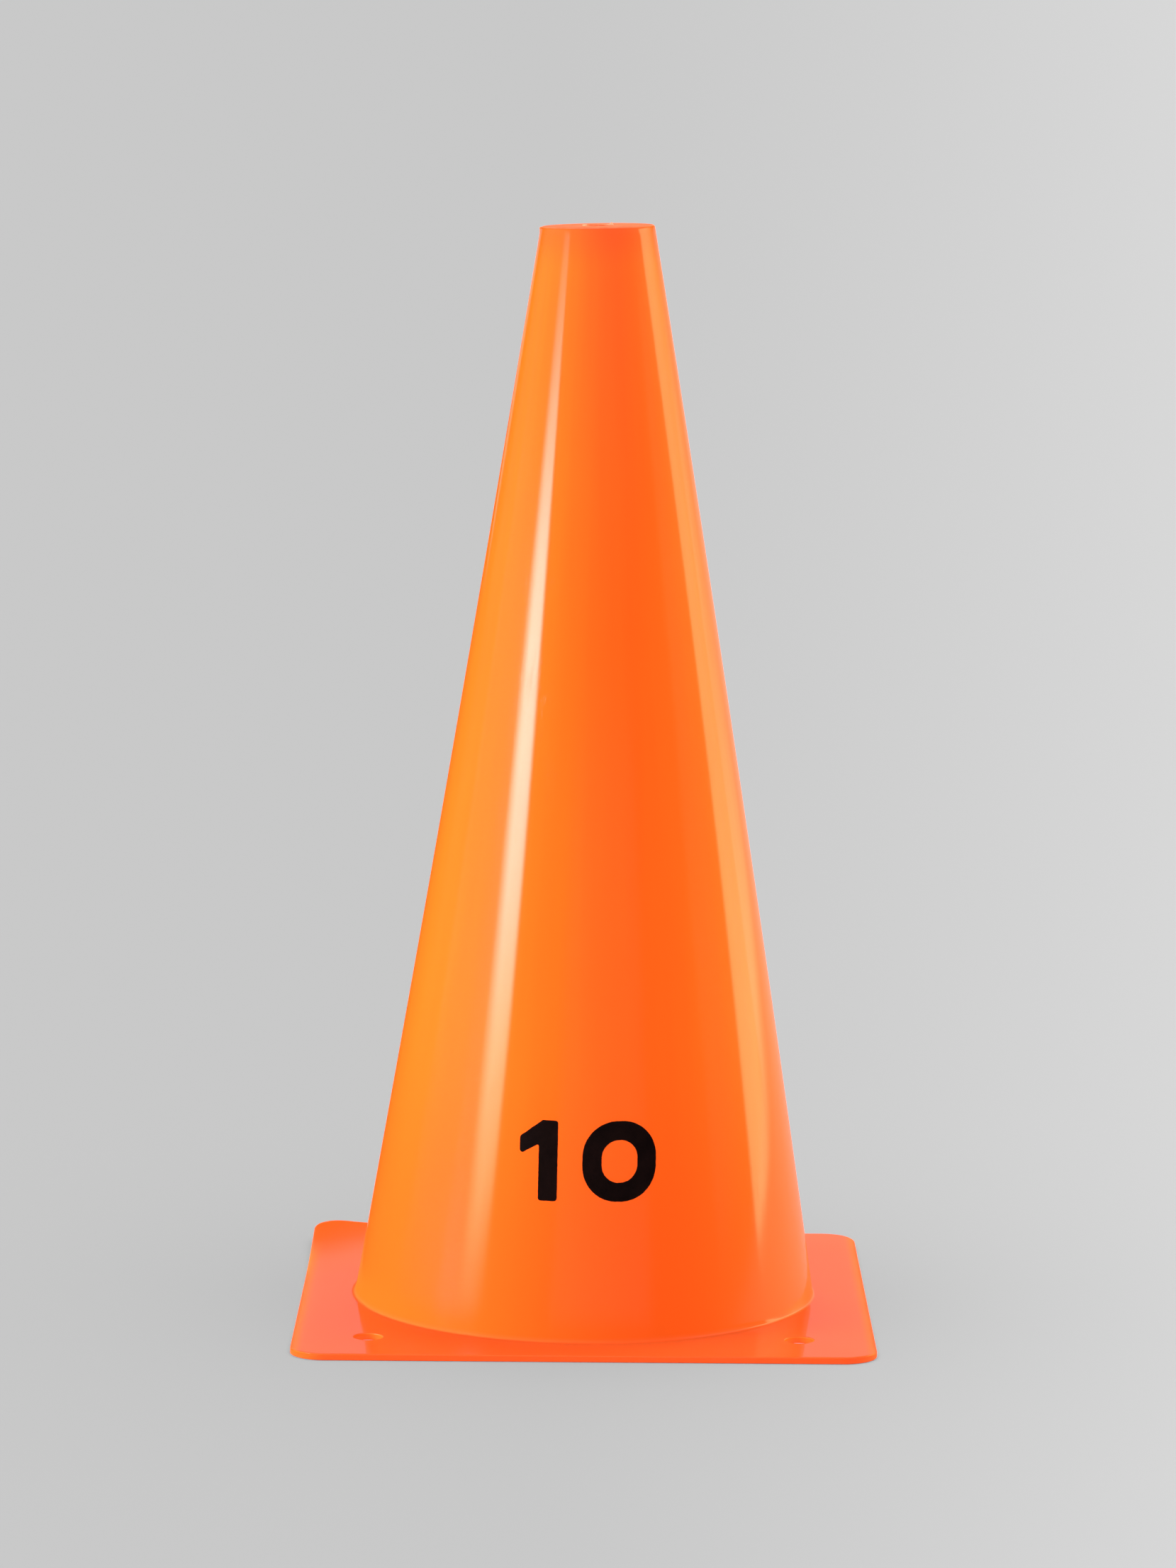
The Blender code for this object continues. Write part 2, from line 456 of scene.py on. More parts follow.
def brokenGate(bench, size, geometry):
    # The plastic tore off here as the mould opened, and left a rough disc with one sharp tip
    place = bench.here()
    x, y, z = bench.split(place)
    radius = (x * x + y * y) ** 0.5
    inside = bench.clamped((size["Gate Radius"] - radius) / size["Tear Edge"])
    onGate = z > size["Cone Height"] + size["Gate Height"] * 0.5
    rough = noiseAt(place, size["Tear Grain"], detail=3.0) * size["Tear Roughness"]
    tipX = x - size["Tip Place"]
    tipDistance = (tipX * tipX + y * y) / size["Tip Spread"]
    tip = size["Tip"] / (1.0 + tipDistance * tipDistance)
    burrX, burrY = x + size["Top Radius"], y + size["Burr Front"]
    burrZ = z - size["Cone Height"] + size["Burr Depth"]
    burrDistance = (burrX * burrX + burrY * burrY + burrZ * burrZ) ** 0.5 / size["Burr Reach"]
    burr = bench.maths("EXPONENT", burrDistance * burrDistance * -1.0) * size["Burr"]
    up = (rough + tip) * inside * onGate + burr * size["Burr Rise"]
    offset = bench.vector(x=burr * -1.0, z=up)
    return bench.put(geometry, Offset=offset)


def pegHoles(bench, size):
    # One hole's skin, set on the four corners of a square
    rounding, steps = size["Peg Hole Round"], size["Round Steps"]
    far = rounding + size["Peg Hole Lip"]
    profile = cornerCurve(bench, [
        (far, size["Plate"], 0.0, 0),
        (0.0, size["Plate"], rounding, steps),
        (0.0, 0.0, rounding, steps),
        (far, 0.0, 0.0, 0),
    ])
    outline = circle(bench, size["Peg Hole Radius"], size["Peg Hole Facets"])
    hole = loftSkin(bench, outline, profile)
    square = bench.node("GeometryNodeCurvePrimitiveQuadrilateral", {
        "Width": size["Peg Hole Spacing"], "Height": size["Peg Hole Spacing"]})
    places = bench.node("GeometryNodeCurveToPoints", {"Curve": square}, mode="EVALUATED")
    holes = bench.node("GeometryNodeInstanceOnPoints", {"Points": places, "Instance": hole})
    return bench.node("GeometryNodeRealizeInstances", {"Geometry": holes})


def plateEdge(bench, size):
    lip, steps = size["Flat Lip"], size["Round Steps"]
    top, bottom = size["Plate Top Round"], size["Plate Bottom Round"]
    profile = cornerCurve(bench, [
        (0.0 - top - lip, size["Plate"], 0.0, 0),
        (0.0, size["Plate"], top, steps),
        (0.0, 0.0, bottom, steps),
        (0.0 - bottom - lip, 0.0, 0.0, 0),
    ])
    square = bench.node("GeometryNodeCurvePrimitiveQuadrilateral", {
        "Width": size["Plate Side"], "Height": size["Plate Side"]})
    rounded = bench.node("GeometryNodeFilletCurve", {
        "Curve": square, "Count": size["Corner Steps"], "Radius": size["Plate Corner"]}, mode="POLY")

    # A corner has one point more than its steps, and from its last one runs a straight side.
    index = bench.node("GeometryNodeInputIndex")
    perCorner = size["Corner Steps"] + 1.0
    isSide = index % perCorner > size["Corner Steps"] - 0.5
    cut = bench.node("GeometryNodeSubdivideCurve", {
        "Curve": rounded, "Cuts": isSide * size["Side Cuts"]})
    return loftSkin(bench, cut, profile)


def coneSkins(bench, size):
    # The outside, the inside and the gate's disc, each turned about the upright axis
    lip, steps, guard = size["Flat Lip"], size["Round Steps"], size["Guard"]
    foot, top, high = size["Foot Radius"], size["Top Radius"], size["Cone Height"]
    plate, roof = size["Plate"], size["Cone Height"] - size["Roof"]
    slope = wallSlope(size)
    wallOut = size["Wall"] * (slope * slope + 1.0) ** 0.5      # the wall, measured level

    def innerRadius(height):
        return coneRadius(size, height) - wallOut

    outer = cornerCurve(bench, [
        (top - foot - size["Rim Round"] - lip, high, 0.0, 0),
        (top - foot, high, size["Rim Round"], steps),
        (coneRadius(size, high - guard) - foot, high - guard, 0.0, 0),
        (coneRadius(size, plate + guard) - foot, plate + guard, 0.0, 0),
        (0.0, plate, size["Foot Fillet"], steps),
        (size["Foot Fillet"] + lip, plate, 0.0, 0),
    ])
    inner = cornerCurve(bench, [
        (innerRadius(roof) - foot - size["Roof Fillet"] - lip, roof, 0.0, 0),
        (innerRadius(roof) - foot, roof, size["Roof Fillet"], steps),
        (innerRadius(roof - guard) - foot, roof - guard, 0.0, 0),
        (innerRadius(size["Inner Guard"]) - foot, size["Inner Guard"], 0.0, 0),
        (innerRadius(0.0) - foot, 0.0, size["Mouth Round"], steps),
        (innerRadius(0.0) - foot + size["Mouth Round"] + lip, 0.0, 0.0, 0),
    ])
    gateTop = high + size["Gate Height"]
    gate = cornerCurve(bench, [
        (0.0 - size["Gate Round"] - size["Gate Lip"], gateTop, 0.0, 0),
        (0.0, gateTop, size["Gate Round"], size["Gate Steps"]),
        (0.0, high, size["Gate Foot Round"], size["Gate Foot Steps"]),
        (size["Gate Foot Lip"], high, 0.0, 0),
    ])

    # The straight wall starts at the point that follows the line's end and the first rounding.
    straight = steps + 2
    outer = cutSegment(bench, outer, straight, size["Wall Rings"])
    inner = cutSegment(bench, inner, straight, size["Inner Rings"])
    around = circle(bench, foot, size["Facets"])
    gateAround = circle(bench, size["Gate Radius"], size["Gate Facets"])
    return [loftSkin(bench, around, outer), loftSkin(bench, around, inner),
            loftSkin(bench, gateAround, gate)]


def makeMoulding(material):
    bench, size = newGeometryTree("cone moulding", mouldingSizes)
    skins = joined(bench, *coneSkins(bench, size), pegHoles(bench, size), plateEdge(bench, size))
    high, side, topSide = size["Cone Height"], size["Plate Side"], size["Top Radius"] * 2.0
    flats = [fillFlat(bench, skins, level, size[pitch], across) for level, pitch, across in (
        (high + size["Gate Height"], "Gate Pitch", size["Gate Radius"] * 2.0),
        (high, "Top Pitch", topSide),
        (high - size["Roof"], "Roof Pitch", topSide),
        (size["Plate"], "Plate Pitch", side),
        (0.0, "Underside Pitch", side))]
    shell = mergeClose(bench, joined(bench, skins, *flats))
    shell = warped(bench, size, brokenGate(bench, size, shell))
    return grow("moulding", bench, mouldingSizes, shell, material)


# Orange plastic: dyed polyethylene with a polished skin, duller where it rubs or was torn.
# Ends are where a mask starts and where it is whole, a noise is its scale and detail, and a mix
# is the weight of each of its parts and then what is added.
plasticLook = {
    "colour": (1.0, 0.108, 0.0088, 1.0),
    "warmColour": (1.0, 0.117, 0.0094, 1.0),   # where the dye ran thinner
    "warmMix": (1.6, 0.8, 0.35),               # of wide streaks and clouds
    "rimShadeColour": (1.0, 0.094, 0.0105, 1.0),    # painted shade, darker where the wall meets the roof
    "rimShadeEnds": (-15.0 * mm, -2.0 * mm),        # from the cone's height
    "footShadeColour": (1.0, 0.096, 0.0085, 1.0),   # painted shade, darker towards where it runs into the plate
    "footShadeEnds": (115.0 * mm, 22.0 * mm),
    "plateSheenColour": (1.0, 0.104, 0.0175, 1.0),  # painted sheen: the plate is paler and pinker
    "edgeShadeColour": (1.0, 0.083, 0.008, 1.0),    # painted shade on its edge and underside
    "edgeShadeEnds": (-0.15 * mm, -0.5 * mm),       # from the plate's top
    "wornColour": (1.0, 0.155, 0.02, 1.0),
    "wornEnds": (-4.5 * mm, 0.0),              # a strip along the plate's left and right sides
    "topColour": (1.0, 0.2, 0.085, 1.0),       # the scuffed top
    "topMix": (1.1, 0.85),
    "tornColour": (1.0, 0.36, 0.2, 1.0),       # stretched white at the gate
    "tornMix": (2.4, -0.1),
    "tornRight": (1.5 * mm, 4.0 * mm),
    "tornLeft": (-3.2 * mm, -4.4 * mm),
    "glow": (0.75, 0.045, 0.003, 1.0),         # painted glow round the peg holes, for light that seeps through
    "wallEnds": (0.2 * mm, 2.0 * mm),          # from the plate's top
    "topEnds": (-0.5 * mm, -0.15 * mm),        # from the cone's height
    "insideEnds": (1.0 * mm, 1.5 * mm),        # in from the wall's outside
    "gateEnds": (0.4 * mm, -0.2 * mm),         # out from the gate's edge
    "holeEnds": (0.3 * mm, 0.05 * mm),         # out from a peg hole's edge
    # gloss is the share of the skin that mirrors, and a loss is what it gives up
    "gloss": 0.55,
    "glossStreaks": 0.1,
    "topLoss": 0.8,
    "wornLoss": 0.6,
    "scuffLoss": 0.95,
    "scuffHigh": (17.0 * mm, 5.0 * mm),        # the foot is scuffed, save at its right
    "scuffAcross": (40.0 * mm, 28.0 * mm),
    "scuffOut": (1.4 * mm, 0.9 * mm),          # out from the foot's radius
    "roughness": 0.07,
    "plateRoughness": 0.045,
    "dullRoughness": 0.16,
    "footDullEnds": (70.0 * mm, 8.0 * mm),
    "footMix": (0.6, 0.35),                    # of grain
    "wornMix": (0.8, 0.8),                     # of specks
    "scratchDull": 0.7,
    "speckDull": 0.35,
    # streaks and scratches are laid out round the cone
    "axisGuard": 1.0 * mm,
    "streakRise": 1.1,
    "scratchTurn": 1.4,
    "scratchRise": 0.9,
    "scratchEnds": (0.17, 0.24),
    "patchEnds": (0.0, 0.14),                  # the scratches lie in patches
    "speckEnds": (0.24, 0.3),
    "wideNoise": (8.5, 2.0),
    "fineNoise": (34.0, 3.0),
    "cloudNoise": (22.0, 2.0),
    "grainNoise": (1500.0, 2.0),
    "speckNoise": (420.0, 1.0),
    "scratchNoise": (150.0, 1.0),
    "patchNoise": (30.0, 1.0),
    "topNoise": (320.0, 2.0),
    "tornNoise": (700.0, 2.0),
    # relief
    "streakHeight": 0.0022 * mm,
    "wideGain": 1.5,
    "cloudHeight": 0.0066 * mm,
    "grainHeight": 0.003 * mm,
    "grainMix": (0.8, 0.12),                   # of how near the foot is
    "scratchHeight": 0.006 * mm,
    "speckDepth": 0.5,                         # a share of a scratch's
}


def newMaterial(name):
    # comes with its bench and the place on the object
    material = bpy.data.materials.new(name)
    bench = newBench(material)
    return material, bench, bench.node("ShaderNodeTexCoord").other("Object")


def finishMaterial(bench, shader):
    bench.node("ShaderNodeOutputMaterial", {"Surface": shader})


def ramp(value, low, high):
    # 0 at low and 1 at high, smooth at both ends
    return value.bench.node("ShaderNodeMapRange", {
        "Value": value, "From Min": low, "From Max": high}, interpolation_type="SMOOTHSTEP")


def rampNear(value, level, ends):
    # a ramp whose ends are counted from a level
    return ramp(value, level + ends[0], level + ends[1])


def mixed(mix, *wires):
    # each wire times its weight, and what the mix adds
    total = wires[0] * mix[0]
    for wire, weight in zip(wires[1:], mix[1:]):
        total = total + wire * weight
    return total + mix[-1]


def tint(factor, first, second):
    return factor.bench.node("ShaderNodeMix", {
        "Factor": factor, "A": first, "B": second}, data_type="RGBA")


def makePlastic(look, size):
    material, bench, place = newMaterial("orange plastic")
    x, y, z = bench.split(place)
    plate, high = size["Plate"], size["Cone Height"]

    # The masks read the straight moulding, so its lean and its tilted top are taken off first.
    share = z / high
    x = x - leanAt(size, share)
    z = z - tiltAt(size, share, x)
    radius = (x * x + y * y) ** 0.5
    onWall = rampNear(z, plate, look["wallEnds"])
    onPlate = 1.0 - onWall
    onTop = rampNear(z, high, look["topEnds"])
    inside = ramp(coneRadius(size, z) - radius, *look["insideEnds"]) * (1.0 - onTop)
    fromAxis = abs(x)
    worn = rampNear(fromAxis, size["Plate Side"] / 2.0, look["wornEnds"]) * onPlate
    gate = rampNear(radius, size["Gate Radius"], look["gateEnds"]) * onTop
    foot = ramp(z, *look["footDullEnds"]) * onWall

    # Streaks run along the wall as the plastic flowed, so they keep their place round the cone.
    outward = radius + look["axisGuard"]
    around = bench.vector(x / outward, y / outward, z * look["streakRise"])
    wide = noiseAt(around, *look["wideNoise"])
    fine = noiseAt(around, *look["fineNoise"])
    cloud = noiseAt(place, *look["cloudNoise"])
    grain = noiseAt(place, *look["grainNoise"])
    speck = noiseAt(place, *look["speckNoise"])
    patch = noiseAt(place, *look["patchNoise"])
    turn = look["scratchTurn"]
    scratchPlace = bench.vector(x / radius * turn, y / radius * turn, z * look["scratchRise"])
    scratch = noiseAt(scratchPlace, *look["scratchNoise"])
    scratches = ramp(scratch, *look["scratchEnds"]) * ramp(patch, *look["patchEnds"])
    scratches = scratches * onWall
    specks = ramp(speck, *look["speckEnds"])

    tornEnds = ramp(x, *look["tornRight"]) + ramp(x, *look["tornLeft"])
    torn = mixed(look["tornMix"], noiseAt(place, *look["tornNoise"])) + tornEnds
    rubbed = mixed(look["topMix"], noiseAt(place, *look["topNoise"]))
    colour = look["colour"]
    for mask, name in (
            (bench.clamped(mixed(look["warmMix"], wide, cloud)), "warmColour"),
            # painted shade near the rim
            (rampNear(z, high, look["rimShadeEnds"]), "rimShadeColour"),
            # painted shade towards the foot
            (ramp(z, *look["footShadeEnds"]), "footShadeColour"),
            # painted sheen on the plate
            (onPlate, "plateSheenColour"),
            (worn, "wornColour"),
            # painted shade on the plate's edge and underside
            (rampNear(z, plate, look["edgeShadeEnds"]), "edgeShadeColour"),
            (bench.clamped(onTop * rubbed), "topColour"),
            (bench.clamped(gate * torn), "tornColour")):
        colour = tint(mask, colour, look[name])

    scuffed = (ramp(z, *look["scuffHigh"]) * ramp(x, *look["scuffAcross"])
               * rampNear(radius, size["Foot Radius"], look["scuffOut"]))
    gloss = bench.clamped(fine * look["glossStreaks"] + look["gloss"])
    for mask, loss in ((onTop, "topLoss"), (worn, "wornLoss"), (scuffed, "scuffLoss")):
        gloss = gloss * (1.0 - mask * look[loss])
    marks = scratches * look["scratchDull"] + specks * look["speckDull"]
    dull = bench.maths("MAXIMUM", inside, onTop)
    for mask in (foot * mixed(look["footMix"], grain), worn * mixed(look["wornMix"], speck), marks):
        dull = bench.maths("MAXIMUM", dull, mask)
    smooth = onPlate * (look["plateRoughness"] - look["roughness"]) + look["roughness"]
    roughness = bench.clamped(dull) * (look["dullRoughness"] - smooth) + smooth

    holeX = fromAxis - size["Peg Hole Spacing"] / 2.0
    holeY = abs(y) - size["Peg Hole Spacing"] / 2.0
    holeRadius = (holeX * holeX + holeY * holeY) ** 0.5
    # Painted glow: the peg holes' walls give off light of their own.
    inHole = rampNear(holeRadius, size["Peg Hole Radius"], look["holeEnds"])
    glow = tint(inHole, black, look["glow"])

    height = (wide * look["wideGain"] + fine) * look["streakHeight"] * onWall
    height = height + grain * mixed(look["grainMix"], foot) * look["grainHeight"]
    height = height + cloud * onPlate * look["cloudHeight"]
    height = height - (scratches + specks * look["speckDepth"]) * look["scratchHeight"]
    normal = bench.node("ShaderNodeBump", {"Strength": 1.0, "Distance": 1.0, "Height": height})

    # The skin is less of a mirror than a full coat, at every angle, so a matte share is mixed in.
    shared = {"Base Color": colour, "Normal": normal,
              "Emission Color": glow, "Emission Strength": 1.0}
    glossy = bench.node("ShaderNodeBsdfPrincipled", {**shared, "Roughness": roughness})
    matte = bench.node("ShaderNodeBsdfPrincipled", {**shared, "Specular IOR Level": 0.0})
    shader = bench.node("ShaderNodeMixShader", {0: 1.0 - gloss, 1: glossy, 2: matte})
    finishMaterial(bench, shader)
    return material


plastic = makePlastic(plasticLook, mouldingSizes)
moulding = makeMoulding(plastic)
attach(moulding, "root")
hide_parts("cone_moulding")
moulding.visible_diffuse = False         # it throws no orange light on the floor

# The number on the front, plain bold figures in black ink. Its flat sizes stand here, and the
# wall that it is rolled on has the moulding's own.
printSizes = {
    "Figure Height": 27.2 * mm,
    "One Width": 13.4 * mm,
    "One Stem": 6.6 * mm,
    "Flag Run": 1.2 * mm,            # how far the one's flag runs in over its stem, at the top
    "Flag Top": 21.4 * mm,           # heights above the figure's foot
    "Flag Under": 15.4 * mm,
    "Flag Join": 19.2 * mm,
    "Gap": 8.6 * mm,
    "Zero Width": 25.6 * mm,
    "Zero Round": 12.0 * mm,
    "Counter Width": 12.4 * mm,
    "Counter Height": 14.4 * mm,
    "Counter Roundness": 0.48,       # a share of its width
    "Corner Round": 0.9 * mm,
    "Join Round": 0.45 * mm,
    "Corner Steps": 4,
    "Join Steps": 3,
    "Zero Steps": 22,
    "Counter Steps": 16,
    "Edge Pitch": 0.4 * mm,
    "Edge Wobble": 0.24 * mm,
    "Wobble Grain": 800.0,
    "Fill Pitch": 1.2 * mm,
    "Fill Reach": 1.8,               # the lattice's side, in figure heights
    "Middle Height": 63.5 * mm,      # of the print's middle, above the ground
    "Proud": 0.05 * mm,
    "Sunk": 0.03 * mm,
}


def figureOutlines(bench, size):
    # The outlines of a 1 and a 0, side by side about the middle, flat on the ground
    high, soft, steps = size["Figure Height"], size["Corner Round"], size["Corner Steps"]
    left = (size["One Width"] + size["Gap"] + size["Zero Width"]) * -0.5
    right = left + size["One Width"]
    stem = right - size["One Stem"]
    foot = high * -0.5
    one = cornerCurve(bench, [
        (stem, foot, soft, steps),
        (right, foot, soft, steps),
        (right, foot + high, soft, steps),
        (stem + size["Flag Run"], foot + high, soft, steps),
        (left, foot + size["Flag Top"], soft, steps),
        (left, foot + size["Flag Under"], soft, steps),
        (stem, foot + size["Flag Join"], size["Join Round"], size["Join Steps"]),
    ], cyclic=True)

    def ring(width, height, rounding, steps):
        middle = right + size["Gap"] + size["Zero Width"] * 0.5
        low, far = middle - width * 0.5, middle + width * 0.5
        return cornerCurve(bench, [
            (low, height * -0.5, rounding, steps),
            (far, height * -0.5, rounding, steps),
            (far, height * 0.5, rounding, steps),
            (low, height * 0.5, rounding, steps),
        ], cyclic=True)

    zero = ring(size["Zero Width"], high, size["Zero Round"], size["Zero Steps"])
    counterRound = size["Counter Width"] * size["Counter Roundness"]
    counter = ring(size["Counter Width"], size["Counter Height"], counterRound,
                   size["Counter Steps"])
    return bench.node("GeometryNodeTransform", {
        "Geometry": joined(bench, one, zero, counter), "Rotation": (-math.pi / 2.0, 0.0, 0.0)})


def wobbled(bench, size, curves):
    # The pad leaves a slightly uneven edge
    curves = bench.node("GeometryNodeResampleCurve", {
        "Curve": curves, "Length": size["Edge Pitch"]}, mode="LENGTH")
    place = bench.here()
    noise = bench.node("ShaderNodeTexNoise", {
        "Vector": place, "Scale": size["Wobble Grain"], "Detail": 1.0}).other("Color")
    eachWay = bench.vectorMaths("SUBTRACT", noise, (0.5, 0.5, 0.5))
    reach = bench.vector(size["Edge Wobble"], size["Edge Wobble"])
    offset = bench.vectorMaths("MULTIPLY", eachWay, reach)
    return bench.put(curves, Offset=offset)


def rolledOn(bench, size, geometry):
    # Lays the flat print round the wall. It keeps its width along the wall at every height.
    across, rise, proud = bench.split(bench.here())
    height = size["Middle Height"] + rise
    wall = coneRadius(mouldingSizes, height)
    radius = wall + proud
    angle = across / wall
    target = bench.vector(bench.maths("SINE", angle) * radius,
                          bench.maths("COSINE", angle) * radius * -1.0, height)
    return bench.put(geometry, Position=target)


def makePrint(material):
    bench, size = newGeometryTree("number print", printSizes)
    outlines = wobbled(bench, size, figureOutlines(bench, size))
    side = size["Figure Height"] * size["Fill Reach"]
    flat = latticeFill(bench, outlines, size["Fill Pitch"], side)
    coat = bench.node("GeometryNodeExtrudeMesh", {
        "Mesh": flat, "Offset": bench.vector(z=1.0), "Offset Scale": size["Proud"] + size["Sunk"],
        "Individual": False})
    coat = moved(bench, mergeClose(bench, joined(bench, coat, flat)), size["Sunk"] * -1.0)
    coat = warped(bench, mouldingSizes, rolledOn(bench, size, coat))
    return grow("number_print", bench, printSizes, coat, material)


# Black ink: thin, satin, a little brown where it is thinnest. The mixes are of clouds and grain.
inkLook = {
    "colour": (0.0026, 0.001, 0.001, 1.0),
    "thinColour": (0.007, 0.0024, 0.002, 1.0),
    "thinMix": (2.0, 1.2, 0.25),
    "shine": 0.03,
    "smoothRoughness": 0.4,
    "roughRoughness": 0.58,
    "roughMix": (1.5, 1.5, 0.5),
    "cloudNoise": (90.0, 2.0),
    "grainNoise": (1300.0, 3.0),
    "grainHeight": 0.004 * mm,
    "cloudGain": 0.6,
}


def makeInk(look):
    material, bench, place = newMaterial("black ink")
    cloud = noiseAt(place, *look["cloudNoise"])
    grain = noiseAt(place, *look["grainNoise"])
    thin = bench.clamped(mixed(look["thinMix"], cloud, grain))
    rough = bench.clamped(mixed(look["roughMix"], cloud, grain))
    roughness = rough * (look["roughRoughness"] - look["smoothRoughness"]) + look["smoothRoughness"]
    height = (grain + cloud * look["cloudGain"]) * look["grainHeight"]
    finishMaterial(bench, bench.node("ShaderNodeBsdfPrincipled", {
        "Base Color": tint(thin, look["colour"], look["thinColour"]),
        "Roughness": roughness,
        "Specular IOR Level": look["shine"],
        "Normal": bench.node("ShaderNodeBump", {"Distance": 1.0, "Height": height})}))
    return material


numberPrint = makePrint(makeInk(inkLook))
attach(numberPrint, "root")

cameraView = {
    "place": (0.0, -2.053, 0.4644),
    "pitchDown": 7.773,              # degrees
    "roll": 0.455,                   # degrees, clockwise in the picture
    "lens": 135.4,                   # millimetres, for a sensor of this width
    "sensor": 36.0,
    "farthest": 1000.0,              # past the floor's far end
}


def makeCamera(view):
    pitch, roll = math.radians(view["pitchDown"]), math.radians(view["roll"])
    ahead = Vector((0.0, math.cos(pitch), -math.sin(pitch)))
    right = Vector((1.0, 0.0, 0.0))
    up = right.cross(ahead)
    rolledRight = right * math.cos(roll) + up * math.sin(roll)
    rolledUp = up * math.cos(roll) - right * math.sin(roll)
    data = bpy.data.cameras.new("camera")
    data.lens = view["lens"]
    data.sensor_width = view["sensor"]
    data.clip_end = view["farthest"]
    camera = added("camera", data)
    turn = Matrix((rolledRight, rolledUp, -ahead)).transposed().to_4x4()
    camera.matrix_world = Matrix.Translation(view["place"]) @ turn
    bpy.context.scene.camera = camera


makeCamera(cameraView)

# The studio: a pale floor that runs far out, lamps, and black cloths that the gloss mirrors
floorShape = {
    "reach": 400.0,
    "drop": 0.05 * mm,               # the floor lies this much below the plate
    "colour": 0.50,                  # grey, towards the left
    "paintedRightLight": 0.18,               # painted light: how much paler the floor gets towards the right
    # the paler part opens like a fan from near the camera
    "fanCentre": -2.05,
    "fanGuard": 0.2,
    "fanFrom": -0.01,
    "fanWidth": 0.11,
    "fanPower": 1.3,
}


def stageSheet(name, corners, faces, material):
    mesh = bpy.data.meshes.new(name)
    mesh.from_pydata(corners, [], faces)
    mesh.materials.append(material)
    sheet = added(name, mesh)
    return sheet


def makeFloor(shape):
    material, bench, place = newMaterial("pale paper")
    x, y = bench.split(place)[:2]
    fan = x / (abs(y - shape["fanCentre"]) + shape["fanGuard"])
    opened = bench.clamped((fan - shape["fanFrom"]) / shape["fanWidth"]) ** shape["fanPower"]
    # painted light, paler towards the right
    grey = (opened * shape["paintedRightLight"] + 1.0) * shape["colour"]
    colour = bench.node("ShaderNodeCombineColor", {"Red": grey, "Green": grey, "Blue": grey})
    finishMaterial(bench, bench.node("ShaderNodeBsdfDiffuse", {"Color": colour}))
    reach, low = shape["reach"], -shape["drop"]
    corners = [(-reach, -reach, low), (reach, -reach, low), (reach, reach, low), (-reach, reach, low)]
    return stageSheet("floor", corners, [(0, 1, 2, 3)], material)


# One cloth stands in an arc round the front, one lies on the floor and one hangs behind.
flagShape = {
    "radius": 1.8,
    "from": -150.0,                  # azimuths
    "to": 124.0,
    "panels": 28,
    "fadeFrom": 0.55,                # the cloth thins out from here up to its height
    "height": 0.95,
    "floorAcross": (-8.0, -0.105),
    "floorAlong": (-3.0, 9.0),
    "backPlace": 1.6,
    "backAcross": (-3.0, 3.0),
    "backFrom": 0.44,                # it fades in from its foot and is whole at the next height
    "backWhole": 0.62,
    "backTop": 3.0,
    "backGuard": 0.01,
}


def makeFlag(shape):
    # black cloths, which only the cone's gloss sees
    material, bench, place = newMaterial("black cloth")
    y, z = bench.split(place)[1:]
    front = ramp(z, shape["fadeFrom"], shape["height"])
    back = ramp(z, shape["backWhole"], shape["backFrom"])
    guard = shape["backGuard"]
    isBack = (y > shape["backPlace"] - guard) * (z > shape["backFrom"] - guard)
    thin = isBack * (back - front) + front
    cloth = bench.node("ShaderNodeBsdfDiffuse", {"Color": black})
    clear = bench.node("ShaderNodeBsdfTransparent")
    finishMaterial(bench, bench.node("ShaderNodeMixShader", {0: thin, 1: cloth, 2: clear}))

    corners, faces = [], []
    for panel in range(shape["panels"] + 1):
        turn = shape["to"] - shape["from"]
        around = math.radians(shape["from"] + turn * panel / shape["panels"])
        x, y = math.sin(around) * shape["radius"], -math.cos(around) * shape["radius"]
        corners += [(x, y, 0.0), (x, y, shape["height"])]
        if panel < shape["panels"]:
            first = panel * 2
            faces.append((first, first + 2, first + 3, first + 1))
    first = len(corners)
    (left, right), (near, far) = shape["floorAcross"], shape["floorAlong"]
    corners += [(left, near, 0.0), (right, near, 0.0), (right, far, 0.0), (left, far, 0.0)]
    (left, right), far = shape["backAcross"], shape["backPlace"]
    low, top = shape["backFrom"], shape["backTop"]
    corners += [(left, far, low), (right, far, low), (right, far, top), (left, far, top)]
    faces += [tuple(range(first, first + 4)), tuple(range(first + 4, first + 8))]
    flag = stageSheet("flag", corners, faces, material)
    flag.visible_camera = False
    flag.visible_diffuse = False
    flag.visible_shadow = False


floorSheet = makeFloor(floorShape)
makeFlag(flagShape)

